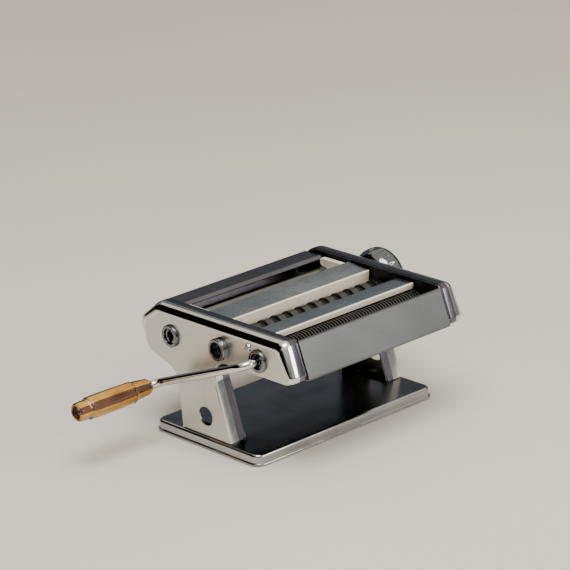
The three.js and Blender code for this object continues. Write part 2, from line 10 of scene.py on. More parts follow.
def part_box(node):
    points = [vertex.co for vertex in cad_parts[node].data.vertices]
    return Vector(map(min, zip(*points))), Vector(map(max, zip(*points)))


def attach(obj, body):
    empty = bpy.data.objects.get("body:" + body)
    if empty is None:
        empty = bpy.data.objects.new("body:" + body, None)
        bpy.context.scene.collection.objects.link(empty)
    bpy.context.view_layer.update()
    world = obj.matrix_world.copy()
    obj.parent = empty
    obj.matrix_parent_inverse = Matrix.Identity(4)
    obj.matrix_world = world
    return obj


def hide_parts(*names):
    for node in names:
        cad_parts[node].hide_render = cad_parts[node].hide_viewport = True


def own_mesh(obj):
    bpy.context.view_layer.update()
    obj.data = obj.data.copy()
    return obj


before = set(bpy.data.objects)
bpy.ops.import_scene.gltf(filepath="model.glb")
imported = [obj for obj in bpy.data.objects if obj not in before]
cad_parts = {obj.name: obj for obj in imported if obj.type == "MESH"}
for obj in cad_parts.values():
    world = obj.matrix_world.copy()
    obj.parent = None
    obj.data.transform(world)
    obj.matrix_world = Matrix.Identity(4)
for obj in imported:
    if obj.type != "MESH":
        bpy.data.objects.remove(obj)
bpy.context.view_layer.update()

# Looks of a hand-cranked pasta machine: two pressed chrome side plates on a chromed tray, a pair of
# smooth rollers, a wide and a fine cutter under folded covers, a domed gap knob and an amber grip.
# Pieces are worked out in millimetres in the machine's own frame: X along the rollers from their
# middle, Y towards the back, Z up from the table. `shape_to_mesh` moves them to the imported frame.
MM = 0.001

# ---------------------------------------------------------------- sizes, in millimetres
AXIS_Z, SMOOTH_Z = 88, 84  # heights of the cutter axes and of the smooth roller axes
ROLLER_HALF = 75.2
# Roller pairs: the Y of both axes, radius, the end of the gear stub at +X, and points round a circle.
# A cutter also has the radius between its discs, the width and number of its strips, and a disc's width.
SMOOTH = {"rear": 54, "front": 25, "r": 13.2, "stub": 83.6, "sides": 128}
WIDE = {"rear": -6, "front": -26, "r": 10.4, "stub": 86.2, "sides": 80,
        "core": 8.4, "strip": 6.5, "strips": 23, "disc": 6.3}
FINE = {"rear": -48, "front": -68, "r": 10.4, "stub": 82.4, "sides": 64,
        "core": 8.8, "strip": 1.5, "strips": 99, "disc": 1.35}
ROWS = ("rear", "front")  # the rear roller of a pair is driven, and its discs start at the first strip
SOCKET_BORE, SOCKET_R, JOURNAL_R = 3.9, 6, 4.5
RIM_X, SHOULDER_X, FACE_X = 76, 83.5, 92
PAN_WALL = 1.2
# Side plate corners as [y, z, radius]; rim and face share one corner order.
RIM = [(-10, 9.6, 0.4), (10.3, 75.4, 14), (-86.5, 75.4, 5), (-75, 107.5, 6), (73, 107.5, 14),
       (99, 88, 10), (86, 66, 14), (48, 55, 16), (47.5, 9.6, 0.4)]
FACE = [(-9.5, 9.6, 0.4), (9, 76.2, 15), (-86, 75.8, 5), (-68, 100.5, 7), (67, 100.5, 10),
        (86, 88.5, 8), (84.5, 67.6, 12), (49, 56, 16), (47, 9.6, 0.4)]
# Holes as (y, z, radius).
CLAMP_HOLE = (18.4, 25.8, 8)
TOP_SCREW = (-37.2, 96.3, 2.8)
KNOB_HOLE = (SMOOTH["front"], SMOOTH_Z, 7.4)
DRIVE_HOLES = [(SMOOTH["rear"], SMOOTH_Z, 7.6), (WIDE["rear"], AXIS_Z, 7.6), (FINE["rear"], AXIS_Z, 7.6)]
FERRULES = {"smooth": 2.2, "wide": 6, "fine": 2.2}  # how far each stands out from the face
TRAY = {"x": 96, "front": -44.4, "rear": 79.5, "corner": 9}
FOOT_INSET = 15
SCREW = {"r": 3.3, "high": 2, "shank": 2.4, "recess": 1.1, "reach": 2.3, "half_slot": 0.55}
# The knob's dome starts at KNOB_X; its back is KNOB_BACK deep and closes in to the radius KNOB_HUB.
KNOB_X, KNOB_R, KNOB_DOME, KNOB_BACK, KNOB_HUB, KNOB_WALL = 108, 25, 13, 14.2, 16, 1.6
SCALLOPS, SCALLOP_X, SCALLOP_DEPTH = 18, 103, 1.1
SPRING = {"from": 103.4, "to": 112.6, "r": 6, "wire": 0.55, "turns": 3.5, "pressed": 0.565}
ROD_R, BEND_R = 3.3, 9
ROD_IN, ROD_ARM, ROD_OUT = -81, -108, -184  # X of the drive end, of the arm and of the grip's end
ARM, DROOP = 110, math.radians(20.5)  # the arm's length, and how far it hangs under the level
GRIP_AXIS = (FINE["rear"] + ARM * math.cos(DROOP), AXIS_Z - ARM * math.sin(DROOP))

near_low, near_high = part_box("side_plate_crank")
far_low, far_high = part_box("side_plate_knob")
roller_low, roller_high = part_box("smooth_roller_rear")
ORIGIN = np.array([(near_low.x + far_high.x) / 2 / MM,
                   (roller_low.y + roller_high.y) / 2 / MM - SMOOTH["rear"],
                   (roller_low.z + roller_high.z) / 2 / MM - SMOOTH_Z])


# ---------------------------------------------------------------- materials
def linear(code):
    """sRGB hex code to linear colour: ((c + 0.055) / 1.055) ** 2.4, or c / 12.92 near black."""
    c = np.array([int(code[i:i + 2], 16) for i in (1, 3, 5)]) / 255
    low = c <= 0.04045
    return (*np.where(low, c / 12.92, ((c + 0.055) / 1.055) ** 2.4), 1.0)


def add(tree, kind, inputs=(), stops=(), **settings):
    """Adds one node. Settings are its properties, inputs its sockets by name or number, each given a
    value or another node's output, and stops the (place, grey or hex) marks of its colour ramp."""
    made = tree.nodes.new(kind)
    for name, value in settings.items():
        setattr(made, name, value)
    for name, value in dict(inputs).items():
        if isinstance(value, bpy.types.NodeSocket):
            tree.links.new(value, made.inputs[name])
        else:
            made.inputs[name].default_value = value
    for i, (place, colour) in enumerate(stops):
        marks = made.color_ramp.elements
        mark = marks[i] if i < len(marks) else marks.new(place)
        mark.position = place
        mark.color = linear(colour) if isinstance(colour, str) else (colour, colour, colour, 1)
    return made


def finish(name, colours, roughness, grain, bump, smudge=40, metallic=1.0, **shader):
    """A surface with real grain: noise whose period along X, Y, Z is `grain` millimetres shifts the colour
    between two hex codes and the roughness between two values, and lifts the surface by `bump`
    millimetres. A second noise, `smudge` millimetres long, adds the slow changes of handling and cleaning.
    `shader` holds constants for the surface's own sockets."""
    look = bpy.data.materials.new(name)
    look.use_nodes = True
    tree = look.node_tree
    tree.nodes.clear()
    place = add(tree, "ShaderNodeTexCoord").outputs["Object"]
    scale = [1 / (g * MM) for g in grain]
    stretched = add(tree, "ShaderNodeMapping", {"Vector": place, "Scale": scale}).outputs["Vector"]
    fine = add(tree, "ShaderNodeTexNoise", {"Vector": stretched, "Scale": 1.0, "Detail": 4.0,
                                            "Roughness": 0.6})
    slow = add(tree, "ShaderNodeTexNoise", {"Vector": place, "Scale": 1 / (smudge * MM), "Detail": 2.0})
    both = add(tree, "ShaderNodeMath", {0: fine.outputs["Fac"], 1: slow.outputs["Fac"]}, operation="ADD")
    half = add(tree, "ShaderNodeMath", {0: both.outputs[0], 1: 0.5}, operation="MULTIPLY")
    tint = add(tree, "ShaderNodeValToRGB", {"Fac": half.outputs[0]},
               [(0.35, colours[0]), (0.65, colours[1])])
    rough = add(tree, "ShaderNodeMapRange", {"Value": half.outputs[0], "From Min": 0.35, "From Max": 0.65,
                                             "To Min": roughness[0], "To Max": roughness[1]})
    lift = add(tree, "ShaderNodeBump", {"Height": fine.outputs["Fac"], "Distance": bump * MM,
                                        "Strength": 1.0})
    surface = add(tree, "ShaderNodeBsdfPrincipled", {
        "Base Color": tint.outputs["Color"], "Roughness": rough.outputs["Result"],
        "Normal": lift.outputs["Normal"], "Metallic": metallic, **shader})
    add(tree, "ShaderNodeOutputMaterial", {"Surface": surface.outputs["BSDF"]})
    return look


# Bright chrome plate on pressed steel: near mirror, with the faint orange peel of the pressing.
chrome_plate = finish("bright chrome plate on pressed steel", ("#D2D3D1", "#E2E2DE"), (0.05, 0.11),
                      (9, 9, 9), 0.012)
# Smoked chrome on the knob and the ferrules: the same mirror, but darker in tone.
smoked_chrome = finish("smoked chrome plate", ("#6E7276", "#83878B"), (0.04, 0.1), (9, 9, 9), 0.01)
# The rim's flange is painted a darker purple grey: a painted reflection of the room, on the same chrome
# plate. Its grain is a little brushed.
painted_reflection_flange = finish("side plate flange with painted reflection", ("#5F5C66", "#74717A"), (0.16, 0.26),
                      (0.6, 9, 9), 0.006)
# The flat face is the same plate buffed with a soft mop, so it blurs what it mirrors.
buffed_face = finish("mop-buffed chrome face", ("#C9C8C2", "#D3D2CC"), (0.3, 0.36), (5, 5, 5), 0.004)
# Chrome plate on the tray: the same plate, a little duller from sliding and wiping.
tray_plate = finish("wiped chrome plate on the tray", ("#A9AAAC", "#BDBDBE"), (0.08, 0.17),
                    (14, 14, 14), 0.012, 60)
# The tray's flat top is painted a darker grey: painted shade and painted reflection of the dark underside
# of the head above it.
tray_top_painted_shade = finish("tray top with painted shade and reflection", ("#6B6A70", "#7F7E84"), (0.14, 0.26),
                        (14, 14, 14), 0.012, 60)
# Ground and chromed rollers: fine grinding lines run round them, so the highlight spreads along X.
ground_chrome = finish("ground chrome roller", ("#77797A", "#8A8C8C"), (0.12, 0.24), (0.5, 12, 12), 0.004)
# Turned cutter steel: lathe lines round the discs.
turned_steel = finish("turned chromed cutter steel", ("#4F5052", "#6A6866"), (0.16, 0.32),
                      (0.35, 6, 6), 0.006)
# The grooves between the discs are painted near black: painted shade between the discs.
painted_groove_shade = finish("painted shade in the cutter grooves", ("#0B0B0B", "#151515"), (0.3, 0.5), (3, 3, 3), 0.004,
                    metallic=0.4)
# Tops of the covers: bright sheet, a little blue, with a fine rolled grain along the fold.
cover_plate = finish("rolled chrome cover sheet", ("#B0B8BC", "#C7CED1"), (0.2, 0.32), (8, 0.4, 0.4), 0.004)
# The fold's front wall is painted pale cream and made satin: a painted reflection of the pale room in
# front, in place of mirroring the cutters.
painted_reflection_wall = finish("front fold of the cover with painted reflection", ("#F1E7D6", "#FBF2E3"), (0.5, 0.62),
                    (8, 0.5, 0.5), 0.003, metallic=0.1)
# Rear cover: the same sheet, but darker in tone.
rear_plate = finish("dark rolled rear cover sheet", ("#6B6972", "#7B7982"), (0.22, 0.36),
                    (8, 0.4, 0.4), 0.004)
# Front panel: dark satin, brushed along its length.
brushed_panel = finish("satin brushed front panel", ("#636567", "#717375"), (0.36, 0.46),
                       (16, 0.35, 0.35), 0.008)
# Plain cold-rolled steel inside, painted near black: painted shade of the inside of the head.
inner_steel = finish("cold-rolled steel in painted shade", ("#1B1C1E", "#333537"), (0.3, 0.5), (3, 3, 3), 0.01)
# Gears, pins and spring wire: bare steel with the short lines of the milling cutter.
gear_steel = finish("milled gear steel", ("#8A8E90", "#A9ACAD"), (0.25, 0.42), (0.6, 4, 4), 0.008)
# Moulded nylon bearings and dough guides: milky, faintly mottled.
nylon = finish("moulded bearing nylon", ("#DDD6C4", "#EAE4D4"), (0.42, 0.55), (2, 2, 2), 0.01, 12, 0.0,
               **{"IOR": 1.53})
# Rubber feet: black with a fine matt moulding grain.
rubber = finish("matt moulded rubber", ("#17171A", "#242427"), (0.7, 0.85), (0.5, 0.5, 0.5), 0.02, 8, 0.0,
                **{"IOR": 1.52})
# Clear amber acrylic moulding: flow streaks along the grip, gloss from the polished mould.
# Every other flat and the bore take a dark brown copy: painted shade, while the gold copy above stands for
# the lit flats.
CLEAR = {"IOR": 1.49, "Transmission Weight": 0.3, "Coat Weight": 0.5, "Coat Roughness": 0.06}
amber = finish("clear amber acrylic", ("#B4701F", "#E9B850"), (0.1, 0.2), (26, 1.6, 1.6), 0.01, 14, 0.0,
               **CLEAR)
shaded_amber_copy = finish("amber acrylic with painted shade", ("#3A1C07", "#7A4314"), (0.1, 0.2), (26, 1.2, 1.2), 0.01, 14, 0.0,
                    **CLEAR)
# Anodised dial disc behind the knob.
dial_metal = finish("anodised dial disc", ("#8D9093", "#A4A7A9"), (0.25, 0.36), (3, 0.4, 0.4), 0.004)


# ---------------------------------------------------------------- shapes: (points, faces) in millimetres
def rounded(corners, steps, closed=True):
    """Line through corners [u, v, radius]: each corner is an arc that touches both its edges. The arc's
    centre stands radius / sin(half angle) from the corner along the bisector; its ends radius / tan(half
    angle) along the edges. Repeated points are dropped."""
    c = np.array([(*p, 0) if len(p) == 2 else p for p in corners], float)
    p, radius = c[:, :2], c[:, 2].copy()
    back, ahead = np.roll(p, 1, 0) - p, np.roll(p, -1, 0) - p
    if not closed:
        radius[[0, -1]] = 0
    back /= np.linalg.norm(back, axis=1)[:, None]
    ahead /= np.linalg.norm(ahead, axis=1)[:, None]
    half = np.arccos(np.clip((back * ahead).sum(1), -0.999999, 0.999999)) / 2
    middle = (back + ahead) + 1e-12
    middle /= np.linalg.norm(middle, axis=1)[:, None]
    centre = p + middle * (radius / np.sin(half))[:, None]
    start = p + back * (radius / np.tan(half))[:, None] - centre
    turn = -np.sign(back[:, 0] * ahead[:, 1] - back[:, 1] * ahead[:, 0]) * (np.pi - 2 * half)
    f = turn[:, None] * np.linspace(0, 1, steps + 1)
    u = centre[:, :1] + start[:, :1] * np.cos(f) - start[:, 1:] * np.sin(f)
    v = centre[:, 1:] + start[:, :1] * np.sin(f) + start[:, 1:] * np.cos(f)
    line = np.stack([u, v], -1).reshape(-1, 2)
    moved = np.linalg.norm(np.diff(line, axis=0), axis=1) > 1e-6
    return line[np.r_[True, moved]]


def inset(outline, distance):
    """The closed outline moved inwards: each point goes distance / (1 + n1.n2) (n1 + n2), its mitre."""
    edge = np.roll(outline, -1, 0) - outline
    edge /= np.linalg.norm(edge, axis=1)[:, None]
    u, v = outline.T
    area = (u * np.roll(v, -1) - np.roll(u, -1) * v).sum()
    after = np.stack([-edge[:, 1], edge[:, 0]], 1) * np.sign(area)
    before = np.roll(after, 1, 0)
    return outline + (before + after) * (distance / (1 + (before * after).sum(1)))[:, None]


def grid(points, closed_u=False, closed_v=False):
    """Quads over a (u, v, 3) array of points; a closed direction joins its last line to its first."""
    u, v = points.shape[:2]
    index = np.arange(u * v).reshape(u, v)
    if closed_u:
        index = np.vstack([index, index[:1]])
    if closed_v:
        index = np.hstack([index, index[:, :1]])
    quads = np.stack([index[:-1, :-1], index[1:, :-1], index[1:, 1:], index[:-1, 1:]], -1)
    return points.reshape(-1, 3), quads.reshape(-1, 4).tolist()


def combine(*shapes):
    """Several shapes as one: each one's face numbers move up by the points before it."""
    starts = np.cumsum([0] + [len(points) for points, _ in shapes[:-1]])
    faces = [[int(i + s) for i in face] for s, (_, fs) in zip(starts, shapes) for face in fs]
    return np.vstack([points for points, _ in shapes]), faces


def revolve(profile, y, z=AXIS_Z, sides=72, radius_at=None):
    """Profile of [x, radius] turned about the line (y, z): point = (x, y + r cos f, z + r sin f).
    `radius_at` may change r for each x, r and f, for flutes and notches."""
    x, r = np.array(profile, float)[:, :2].T
    f = np.linspace(0, 2 * np.pi, sides, endpoint=False)
    xx, ff = np.meshgrid(x, f, indexing="ij")
    rr = np.repeat(r[:, None], sides, 1)
    if radius_at:
        rr = radius_at(xx, rr, ff)
    return grid(np.stack([xx, y + rr * np.cos(ff), z + rr * np.sin(ff)], -1), closed_v=True)


def along_x(outline, x0, x1):
    """Closed YZ outline carried from x0 to x1, with its two end faces."""
    points = np.stack([np.column_stack([np.full(len(outline), x), outline]) for x in (x0, x1)])
    shape, faces = grid(points, closed_v=True)
    count = len(outline)
    return shape, faces + [list(range(count)), list(range(2 * count - 1, count - 1, -1))]


def folded(line, thickness):
    """Closed section of bent sheet: a line of [y, rise, bend radius] and the same line moved to its left by
    the thickness, point by point along the mitre."""
    path = rounded([(y, AXIS_Z + rise, r) for y, rise, r in line], 6, closed=False)
    edge = np.diff(path, axis=0)
    edge /= np.linalg.norm(edge, axis=1)[:, None]
    left = np.stack([-edge[:, 1], edge[:, 0]], 1)
    before, after = np.vstack([left[:1], left]), np.vstack([left, left[-1:]])
    side = path + (before + after) * (thickness / (1 + (before * after).sum(1)))[:, None]
    return np.vstack([path, side[::-1]])


def shape_to_mesh(name, shape, sharp=32):
    """Points and faces in millimetres to a mesh object at the origin: doubles merged, faces turned
    outwards, smooth but for open borders and edges sharper than `sharp` degrees."""
    points, faces = shape
    mesh = bpy.data.meshes.new(name)
    mesh.from_pydata(((points + ORIGIN) * MM).tolist(), [], faces)
    made = bpy.data.objects.new(name, mesh)
    bpy.context.scene.collection.objects.link(made)
    work = bmesh.new()
    work.from_mesh(mesh)
    bmesh.ops.remove_doubles(work, verts=work.verts, dist=0.004 * MM)
    bmesh.ops.dissolve_degenerate(work, edges=work.edges, dist=0.002 * MM)
    bmesh.ops.recalc_face_normals(work, faces=work.faces)
    work.edges.index_update()
    work.to_mesh(mesh)
    borders = [edge.index for edge in work.edges if edge.is_boundary]
    work.free()
    mesh.shade_smooth()
    mesh.set_sharp_from_angle(angle=math.radians(sharp))
    for index in borders:
        mesh.edges[index].use_edge_sharp = True
    return made


def piece(name, shape, body, slot, looks, *nodes, sharp=32):
    """Makes a shape into a finished piece that rides on a body and stands for its CAD nodes."""
    made = shape_to_mesh(name, shape, sharp)
    for look in looks if isinstance(looks, list) else [looks]:
        made.data.materials.append(look)
    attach(made, body)
    if nodes:
        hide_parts(*nodes)
    return made


def face_places(made):
    """Middles, in machine millimetres, and normals of a piece's faces."""
    middles = np.array([face.center for face in made.data.polygons]) / MM - ORIGIN
    return middles, np.array([face.normal for face in made.data.polygons])


def dress(made, *choices):
    """Gives the second look to the faces of the first choice, the third look to those of the second."""
    index = np.zeros(len(made.data.polygons), np.int32)
    for number, chosen in enumerate(choices, 1):
        index[chosen] = number
    made.data.polygons.foreach_set("material_index", index)


# ---------------------------------------------------------------- side plates
def circle(y, z, r, count=56):
    """Closed ring of [y, z] points: centre + r (cos f, sin f)."""
    f = np.linspace(0, 2 * np.pi, count, endpoint=False)
    return np.stack([y + r * np.cos(f), z + r * np.sin(f)], 1)


def pressed_pan(side, holes):
    """Pressed side plate, as an open skin. From the rim inwards the flange has a small joggle, then the
    shoulder: at angle a its ring stands at x = shoulder + depth sin a and its outline is
    rim + (face - rim)(1 - cos a), so it leaves the flange and meets the face with no crease. The flat face
    is a constrained triangulation between the last ring and the holes."""
    rim, face = rounded(RIM, 10), rounded(FACE, 10)
    low = inset(rim, 0.6)
    a = np.linspace(0, np.pi / 2, 14)
    rings = [(RIM_X, inset(rim, 0.8)), (RIM_X + 0.25, low), (RIM_X + 1.5, low),
             (RIM_X + 1.9, inset(rim, 0.08)), (RIM_X + 2.3, rim)]
    depth = FACE_X - SHOULDER_X
    rings += [(SHOULDER_X + depth * math.sin(t), rim + (face - rim) * (1 - math.cos(t))) for t in a]
    rings.append((FACE_X, inset(face, 0.8)))
    skin = np.stack([np.column_stack([np.full(len(o), side * x), o]) for x, o in rings])
    loops = [rings[-1][1]] + [circle(*hole) for hole in holes]
    starts = np.cumsum([0] + [len(loop) for loop in loops])
    edges = [(s + i, s + (i + 1) % len(loop)) for s, loop in zip(starts, loops) for i in range(len(loop))]
    corners = [Vector(p) for loop in loops for p in loop]
    flat, _, triangles, *_ = delaunay_2d_cdt(corners, edges, [], 1, 1e-5)
    flat = np.array([tuple(p) for p in flat])
    middles = flat[np.array(triangles)].mean(1)
    solid = [t for t, m in zip(triangles, middles)
             if all((m[0] - y) ** 2 + (m[1] - z) ** 2 > (0.98 * r) ** 2 for y, z, r in holes)
             and inside(m, loops[0])]
    flat_face = np.column_stack([np.full(len(flat), side * FACE_X), flat]), solid
    return combine(grid(skin, closed_v=True), flat_face)


def inside(point, outline):
    """Even-odd rule: a point is inside if a ray towards +u crosses the outline an odd number of times."""
    (u, v), (nu, nv) = outline.T, np.roll(outline, -1, 0).T
    span = (v > point[1]) != (nv > point[1])
    at = u + (point[1] - v) * (nu - u) / np.where(nv == v, 1, nv - v)
    return bool((span & (point[0] < at)).sum() % 2)


for side, end, holes in ((-1, "crank", [CLAMP_HOLE, TOP_SCREW, *DRIVE_HOLES]),
                         (1, "knob", [CLAMP_HOLE, TOP_SCREW, KNOB_HOLE])):
    plate = piece(f"plate_{end}", pressed_pan(side, holes), "frame", "chrome",
                  [chrome_plate, buffed_face, painted_reflection_flange], f"side_plate_{end}")
    middles, normals = face_places(plate)
    out = side * middles[:, 0]
    flat = out > FACE_X - 0.01
    if normals[flat, 0].mean() * side < 0:
        plate.data.flip_normals()
    # The face takes the buffed look; the flange outside the shoulder takes the darker purple grey, a
    # painted reflection.
    dress(plate, flat, out < SHOULDER_X - 0.01)
    wall = plate.modifiers.new("sheet thickness", "SOLIDIFY")
    wall.thickness = PAN_WALL * MM
    wall.offset = -1
    wall.use_even_offset = False


# ---------------------------------------------------------------- base tray and feet
def tray_ring(shrink, z):
    """Rounded rectangle at height z, `shrink` inside the tray's lip."""
    x, front, rear = TRAY["x"] - shrink, TRAY["front"] + shrink, TRAY["rear"] - shrink
    r = TRAY["corner"] - shrink
    outline = rounded([(-x, front, r), (x, front, r), (x, rear, r), (-x, rear, r)], 10)
    return np.column_stack([outline, np.full(len(outline), z)])


def tray():
    """Rings of rounded rectangles: inner skirt, open foot, flared lip, skirt, quarter-round top edge (inset
    r (1 - cos a), height top - r (1 - sin a)), then the flat top."""
    top, r = 9.3, 2.4
    a = np.linspace(0, np.pi / 2, 9)
    edge = [(1.2 + r * (1 - math.cos(t)), top - r * (1 - math.sin(t))) for t in a]
    outer = [(0, 0.8), (0, 1.5), (0.25, 1.9), (0.9, 2.1), (1.2, 2.5), *edge, (4.4, top), (8.6, top)]
    under = [(8.6, 8.1), (4.2, 8.1), (2.9, 7.4), (2.3, 6.2), (2.2, 3), (1.6, 2.3), (1, 1.7), (1, 0.8)]
    rings = np.stack([tray_ring(*ring) for ring in outer + under])
    points, faces = grid(rings, closed_u=True, closed_v=True)
    count = rings.shape[1]
    above, below = len(outer) - 1, len(outer)
    faces = [f for f in faces if not (f[0] // count == above and f[1] // count == below)]
    lid = list(range(above * count, (above + 1) * count))
    ceiling = list(range(below * count, (below + 1) * count))[::-1]
    return points, faces + [lid, ceiling]


base = piece("tray", tray(), "frame", "chrome", [tray_plate, tray_top_painted_shade], "base_tray")
middles, normals = face_places(base)
# The upward flat top faces take the darker grey, painted shade and reflection of the head above.
dress(base, (middles[:, 2] > 9.2) & (normals[:, 2] > 0.9))

foot_profile = rounded([(0, 0), (0, 6.6, 0.8), (1.6, 7, 1), (7.9, 6.9, 0.3), (7.9, 0)], 5, closed=False)
for row, y in (("front", TRAY["front"] + FOOT_INSET), ("rear", TRAY["rear"] - FOOT_INSET)):
    for end, x in (("left", FOOT_INSET - TRAY["x"]), ("right", TRAY["x"] - FOOT_INSET)):
        points, faces = revolve(foot_profile, 0, 0, 40)
        upright = np.stack([points[:, 1] + x, points[:, 2] + y, points[:, 0]], 1)
        piece(f"rubber_foot_{row}_{end}", (upright, faces), "frame", "rubber", rubber, f"foot_{row}_{end}")


# ---------------------------------------------------------------- rollers and cutters
def ended(body, driven, stub_end):
    """A roller's whole profile: its drive socket or journal at -X, the body, and the gear stub at +X."""
    bevel, stub = 0.3, JOURNAL_R
    socket = [(-80.5, 0), (-80.5, SOCKET_BORE), (-81, SOCKET_R), (-ROLLER_HALF, SOCKET_R)]
    journal = [(-83, 0), (-83, stub - bevel), (bevel - 83, stub), (-ROLLER_HALF, stub)]
    end = [(ROLLER_HALF, stub), (stub_end - bevel, stub), (stub_end, stub - bevel), (stub_end, 0)]
    return np.vstack([socket if driven else journal, body, end])


def discs(cutter, first):
    """Profile of thin discs on every other strip: for disc k, [from, core], a chamfered rim, [to, core]."""
    r, core, width = cutter["r"], cutter["core"], cutter["disc"]
    k = np.arange(first, cutter["strips"], 2)
    middle = (k - (cutter["strips"] - 1) / 2) * cutter["strip"]
    chamfer = min(0.25, width / 6)
    across = np.array([-0.5, -0.5, -0.5, 0.5, 0.5, 0.5]) * width + np.array([0, 0, chamfer, -chamfer, 0, 0])
    height = np.array([core, r - chamfer, r, r, r - chamfer, core])
    x = middle[:, None] + across
    rim = np.stack([x, np.broadcast_to(height, x.shape)], -1).reshape(-1, 2)
    return np.vstack([[(-ROLLER_HALF, core)], rim, [(ROLLER_HALF, core)]])


def prongs(y, z):
    """The two prongs of a slotted drive socket: a ring sector from the bore to the socket's radius and from
    x -93 to -80.8, over 144 degrees on each side of the slot, closed at its two ends."""
    section = rounded([(-93, 4.1, 0.2), (-93, 5.8, 0.3), (-92.4, SOCKET_R, 0.2), (-80.8, SOCKET_R, 0.1),
                       (-80.8, SOCKET_BORE, 0.1), (-92.4, SOCKET_BORE, 0.2)], 3)
    x, r = section.T
    count, steps = len(x), 25
    shapes = []
    for start in (-72, 108):
        f = np.radians(np.linspace(start, start + 144, steps))
        points = np.stack([np.broadcast_to(x[:, None], (count, steps)), y + r[:, None] * np.cos(f),
                           z + r[:, None] * np.sin(f)], -1)
        shape, faces = grid(points, closed_u=True)
        ends = [[i * steps + e for i in range(count)][::1 if e else -1] for e in (0, steps - 1)]
        shapes.append((shape, faces + ends))
    return combine(*shapes)


def roller(body, pair, row, z):
    """One roller of a pair, turned about its axis; the rear one also has the drive socket."""
    driven = row == "rear"
    shape = revolve(ended(body, driven, pair["stub"]), pair[row], z, sides=pair["sides"])
    return combine(shape, prongs(pair[row], z)) if driven else shape


def shade_grooves(made, y, r):
    """Gives the second look, the near-black painted shade, to every face of the body whose middle lies more
    than 0.4 under the rims.
    """
    middles, _ = face_places(made)
    deep = np.hypot(middles[:, 1] - y, middles[:, 2] - AXIS_Z) < r - 0.4
    dress(made, deep & (np.abs(middles[:, 0]) < ROLLER_HALF))


smooth_body = rounded([(-ROLLER_HALF, JOURNAL_R), (-ROLLER_HALF, SMOOTH["r"], 0.7),
                       (ROLLER_HALF, SMOOTH["r"], 0.7), (ROLLER_HALF, JOURNAL_R)], 6, closed=False)
for row in ROWS:
    piece(f"dough_roller_{row}", roller(smooth_body, SMOOTH, row, SMOOTH_Z), f"smooth_{row}_shaft",
          "roller_steel", ground_chrome, f"smooth_roller_{row}")
for name, pair, cutter in (("tagliatelle_discs", "wide", WIDE), ("spaghetti_discs", "fine", FINE)):
    for first, row in enumerate(ROWS):
        shape = roller(discs(cutter, first), cutter, row, AXIS_Z)
        made = piece(f"{name}_{row}", shape, f"{pair}_{row}_shaft", "cutter_steel",
                     [turned_steel, painted_groove_shade], f"{pair}_cutter_{row}")
        # The grooves between the discs take the near-black painted shade.
        shade_grooves(made, cutter[row], cutter["r"])

# Flanged drive ferrules: a rolled lip round a deep bore; the wide cutter's stands out as a collar.
for (name, out), (y, z, _) in zip(FERRULES.items(), DRIVE_HOLES):
    face = FACE_X + 0.2
    profile = rounded([(-face - out, 6.4, 0.25), (-face - out, 9.1, 0.9), (-face, 9.2, 0.2),
                       (-face, 7.3, 0.1), (-89.3, 7.3, 0.2), (-89.3, 6.4, 0.2)], 6)
    shape = revolve(np.vstack([profile, profile[:1]]), y, z, sides=72)
    piece(f"ferrule_{name}", shape, "frame", "chrome", smoked_chrome, f"drive_ferrule_{name}")


# ---------------------------------------------------------------- covers and front panel
def cover(name, line, node, slot, looks, painted_reflection_from=None):
    """A sheet 1 mm thick, folded along `line` and carried across the head. Faces in front of the given Y
    that look forwards take the second look, whose pale cream is a painted reflection."""
    shape = along_x(folded(line, 1), -ROLLER_HALF, ROLLER_HALF)
    made = piece(name, shape, "frame", slot, looks, node, sharp=50)
    if painted_reflection_from is not None:
        middles, normals = face_places(made)
        dress(made, (middles[:, 1] < painted_reflection_from) & (normals[:, 1] < -0.6))
    return made


cover("cover_rear", [(57.5, 13.6, 0), (60.5, 15.4, 1.5), (79, 14.6, 6), (84, 12.4, 4), (93.5, 3, 5),
                     (94.4, -1, 3), (86, -19.5, 0)],
      "rear_cover", "cover_steel", rear_plate)
cover("cover_middle", [(28.4, 14.4, 0), (28.8, 16.4, 0.8), (27.6, 17.4, 0.8), (4.6, 15.6, 1.2),
                       (4, 14.6, 0.8), (6.4, -1, 0)],
      "middle_top_plate", "cover_steel", [cover_plate, painted_reflection_wall], painted_reflection_from=8)
cover("cover_front", [(-28.6, 11.6, 0), (-27.6, 14.6, 1), (-28.4, 15.8, 0.8), (-45.2, 16, 1.2),
                      (-46.2, 15, 0.8), (-45.4, 10.9, 0)],
      "front_top_plate", "cover_steel", [cover_plate, painted_reflection_wall], painted_reflection_from=-44)
cover("panel_front", [(-70.6, 15.2, 0), (-74.6, 17.8, 1.2), (-76, 17, 1), (-85.8, -10.6, 1.2),
                      (-85.2, -12, 0.8), (-80.6, -13, 0)],
      "front_panel", "panel_steel", brushed_panel)


